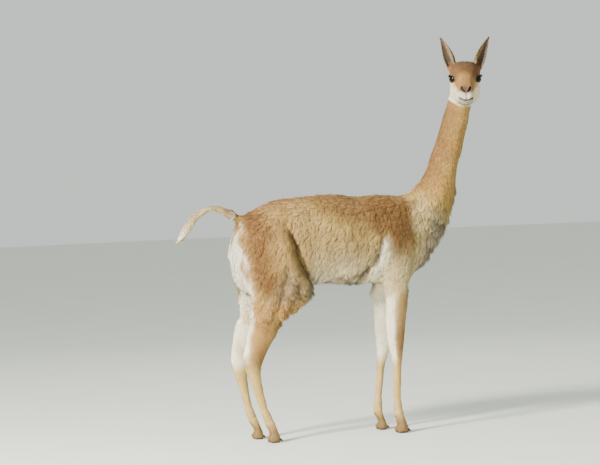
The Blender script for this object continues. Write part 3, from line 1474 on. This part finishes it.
def shaded(tree, source, shade):
    return add_node(tree, "VectorMath", {0: source, "Scale": shade}, "SCALE").outputs["Vector"]


def ramp(tree, source, *stops):
    """A colour that changes along a value, by (place, colour) stops."""
    made = tree.nodes.new("ShaderNodeValToRGB")
    elements = made.color_ramp.elements
    for k, (position, value) in enumerate(stops):
        stop = elements[k] if k < 2 else elements.new(position)
        stop.position, stop.color = position, (*value, 1)
    tree.links.new(source, made.inputs["Fac"])
    return made.outputs["Color"]


def bumped(tree, shader, height, strength, distance):
    bump = add_node(tree, "Bump", {"Height": height}, Strength=strength, Distance=distance)
    tree.links.new(bump.outputs["Normal"], shader.inputs["Normal"])


def new_material(name, **values):
    """A material, its tree, and its shader with values in the sockets, named with _ for a space."""
    made = bpy.data.materials.new(name)
    made.use_nodes = True
    shader = made.node_tree.nodes["Principled BSDF"]
    filled(shader, values)
    return made, made.node_tree, shader


def coat_group():
    """The look of hair that skin and tufts share: colour that varies from hair to hair, and a fine nap."""
    found = bpy.data.node_groups.get("hair look")
    if found:
        return found
    tree = bpy.data.node_groups.new("hair look", "ShaderNodeTree")
    for name, way, kind, value in (
        ("Coat", "INPUT", "NodeSocketColor", (0.5, 0.4, 0.3, 1)),
        ("Place", "INPUT", "NodeSocketVector", None),
        ("Tip", "INPUT", "NodeSocketFloat", 0.5),
        ("Grain", "INPUT", "NodeSocketFloat", 300.0),
        ("Color", "OUTPUT", "NodeSocketColor", None),
        ("Height", "OUTPUT", "NodeSocketFloat", None),
    ):
        socket = tree.interface.new_socket(name=name, in_out=way, socket_type=kind)
        if value is not None:
            socket.default_value = value
    given, leave = tree.nodes.new("NodeGroupInput").outputs, tree.nodes.new("NodeGroupOutput")
    place, grain = given["Place"], given["Grain"]
    strands = add_node(tree, "TexNoise", {"Vector": place, "Scale": grain}, Detail=3.0).outputs["Fac"]
    fine = ranged(tree, strands, 0.30, 0.70, 0.78, 1.18)
    broad = ranged(tree, noise(tree, place, 26.0, 4.0), 0.30, 0.70, 0.90, 1.08)
    shade = product(tree, product(tree, fine, broad), ranged(tree, given["Tip"], 0.0, 1.0, 0.66, 1.16))
    tree.links.new(shaded(tree, given["Coat"], shade), leave.inputs["Color"])
    tree.links.new(strands, leave.inputs["Height"])
    return tree


def hair_nodes(tree, shader, place, grain, tip=None):
    """Adds the shared hair look, fed with the coat's own colour, and returns its height."""
    look = tree.nodes.new("ShaderNodeGroup")
    look.node_tree = coat_group()
    look.inputs["Grain"].default_value = grain
    tree.links.new(attribute(tree, "coat")["Color"], look.inputs["Coat"])
    tree.links.new(place, look.inputs["Place"])
    if tip is not None:
        tree.links.new(tip, look.inputs["Tip"])
    tree.links.new(look.outputs["Color"], shader.inputs["Base Color"])
    return look.outputs["Height"]


def skin_material():
    made, tree, shader = new_material("short fur over skin", Roughness=0.85, Specular_IOR_Level=0.20)
    place = stretched(tree, attribute(tree, "nap")["Vector"], (1.0, 1.0, 0.16))
    bumped(tree, shader, hair_nodes(tree, shader, place, 520.0), 0.55, 0.0008)
    return made


def tuft_material():
    found = bpy.data.materials.get("wool")
    if found:
        return found
    made, tree, shader = new_material("wool", Roughness=0.78, Specular_IOR_Level=0.20)
    hair_nodes(tree, shader, object_place(tree), 240.0, attribute(tree, "tip")["Fac"])
    return made


def eye_material(iris):
    found = bpy.data.materials.get("wet eye")
    if found:
        return found
    made, tree, shader = new_material("wet eye", Roughness=0.05, IOR=1.34, Specular_IOR_Level=0.28)
    edge = (iris[0] * 0.75, iris[1] * 0.7, iris[2] * 0.7)
    band, limb, white = (0.0015, 0.0010, 0.0008), (0.0030, 0.0020, 0.0016), (0.006, 0.004, 0.003)
    ring = attribute(tree, "ring")["Fac"]
    colours = ramp(tree, ring, (0.0, iris), (0.44, edge), (0.52, band), (0.60, limb), (1.0, white))
    rays = ranged(tree, noise(tree, object_place(tree), 420.0, 5.0), 0.35, 0.65, 0.6, 1.4)
    pupil = ranged(tree, attribute(tree, "pupil")["Fac"], 0.85, 1.1, 0.0, 1.0)
    tree.links.new(shaded(tree, colours, product(tree, rays, pupil)), shader.inputs["Base Color"])
    return made


def mottled_material(name, first, second, scale, rough, bump_distance, stretch=(1, 1, 1)):
    """A material of two shades in fine grain, with a bump to match."""
    found = bpy.data.materials.get(name)
    if found:
        return found
    made, tree, shader = new_material(name, Roughness=rough)
    grain = noise(tree, stretched(tree, object_place(tree), stretch), scale, 4.0)
    tree.links.new(ramp(tree, grain, (0.35, first), (0.65, second)), shader.inputs["Base Color"])
    bumped(tree, shader, grain, 0.6, bump_distance)
    return made


def rim_material():
    return mottled_material("lid rim", tone(20, 15, 14), tone(44, 33, 29), 900.0, 0.42, 0.0002)


def lash_material():
    return mottled_material("lash", tone(20, 15, 12), tone(60, 44, 32), 700.0, 0.5, 0.0001)


def horn_material():
    along = (0.25, 1.6, 1.0)
    return mottled_material("ridged horn", tone(30, 25, 22), tone(66, 55, 47), 260.0, 0.38, 0.0005, along)


def floor_material(colour_value):
    paler = tuple(min(1.0, c * 1.04) for c in colour_value)
    return mottled_material("pale floor", colour_value, paler, 3.0, 0.9, 0.0004)


# Studio

def area_light(name, place, aim, size, power, tint):
    data = bpy.data.lights.new(name, "AREA")
    data.shape = "DISK"
    data.size = size
    data.energy = power
    data.color = tint
    made = bpy.data.objects.new(name, data)
    turn = (Vector(aim) - Vector(place)).to_track_quat("-Z", "Y").to_matrix().to_4x4()
    made.matrix_world = Matrix.Translation(place) @ turn
    bpy.context.scene.collection.objects.link(made)
    return made


class VICUNA_OT_studio(bpy.types.Operator):
    """Sets the camera at the photograph's angle, and the pale floor and soft light"""
    bl_idname = "vicuna.studio"
    bl_label = "Studio"

    def execute(self, context):
        scene, settings = context.scene, context.scene.vicuna_studio
        aim = home(CAMERA_AIM)
        away = Vector((-math.sin(CAMERA_AZIMUTH), -math.cos(CAMERA_AZIMUTH), 0)) * 9.0
        place = home((away.x, away.y, CAMERA_HEIGHT))
        data = bpy.data.cameras.new("camera")
        data.sensor_width = 36.0
        data.lens = (aim - place).length / METRES_PER_PIXEL * data.sensor_width / PHOTO_WIDTH
        data.clip_end = 100.0
        camera = bpy.data.objects.new("camera", data)
        scene.collection.objects.link(camera)
        ahead = (aim - place).normalized()
        right = ahead.cross(Vector((0, 0, 1))).normalized()
        turn = Matrix((right, right.cross(ahead), -ahead)).transposed().to_4x4()
        camera.matrix_world = Matrix.Translation(place) @ turn @ Matrix.Rotation(CAMERA_ROLL, 4, "Z")
        scene.camera = camera
        shape = bmesh.new()
        bmesh.ops.create_circle(shape, cap_ends=True, segments=96, radius=settings.floor_size)
        floor = new_object("floor", mesh_of(shape, "floor"))
        floor.data.materials.append(floor_material(tuple(settings.floor_colour)))
        middle = home((0.12, 0.0, 0.70))
        area_light("key light", home((-4.8, -3.0, 3.3)), middle, 1.3, settings.key_power, (1.0, 0.97, 0.92))
        area_light("fill light", home((3.4, -3.0, 1.6)), middle, 3.0, settings.fill_power, (0.93, 0.96, 1.0))
        area_light("rim light", home((1.6, 3.6, 3.0)), middle, 2.5, settings.fill_power * 2.5, (1.0, 1.0, 1.0))
        world = bpy.data.worlds.new("soft light")
        world.use_nodes = True
        back = world.node_tree.nodes["Background"]
        back.inputs["Color"].default_value = (0.92, 0.97, 0.93, 1)
        back.inputs["Strength"].default_value = settings.sky
        scene.world = world
        return {"FINISHED"}


class VICUNA_PT_panel(bpy.types.Panel):
    """Lists the steps that dress the vicuna"""
    bl_idname = "VICUNA_PT_panel"
    bl_label = "Vicuna"
    bl_space_type = "VIEW_3D"
    bl_region_type = "UI"
    bl_category = "Vicuna"

    def draw(self, context):
        for step in STEPS:
            self.layout.operator(step.bl_idname)
        for label in SETTINGS:
            box = self.layout.box()
            box.label(text=label.capitalize())
            group = getattr(context.scene, f"vicuna_{label}")
            for field in group.__annotations__:
                box.prop(group, field)


SETTINGS = {
    "skin": VICUNA_PG_skin,
    "colours": VICUNA_PG_colours,
    "fleece": VICUNA_PG_fleece,
    "stifle": VICUNA_PG_stifle,
    "nape": VICUNA_PG_nape,
    "legs": VICUNA_PG_legs,
    "face": VICUNA_PG_face,
    "ears": VICUNA_PG_ears,
    "tail": VICUNA_PG_tail,
    "eyes": VICUNA_PG_eyes,
    "nails": VICUNA_PG_nails,
    "studio": VICUNA_PG_studio,
}
STEPS = (
    VICUNA_OT_studio,
    VICUNA_OT_skin,
    VICUNA_OT_fleece,
    VICUNA_OT_nape,
    VICUNA_OT_legs,
    VICUNA_OT_face,
    VICUNA_OT_tail,
    VICUNA_OT_eyes,
    VICUNA_OT_nails,
)


def register():
    for label, group in SETTINGS.items():
        bpy.utils.register_class(group)
        setattr(bpy.types.Scene, f"vicuna_{label}", PointerProperty(type=group))
    for step in STEPS:
        bpy.utils.register_class(step)
    bpy.utils.register_class(VICUNA_PT_panel)


def unregister():
    bpy.utils.unregister_class(VICUNA_PT_panel)
    for step in reversed(STEPS):
        bpy.utils.unregister_class(step)
    for label, group in reversed(SETTINGS.items()):
        delattr(bpy.types.Scene, f"vicuna_{label}")
        bpy.utils.unregister_class(group)


def main():
    register()
    for step in STEPS:
        group, name = step.bl_idname.split(".")
        getattr(getattr(bpy.ops, group), name)()


if __name__ == "__main__":
    main()
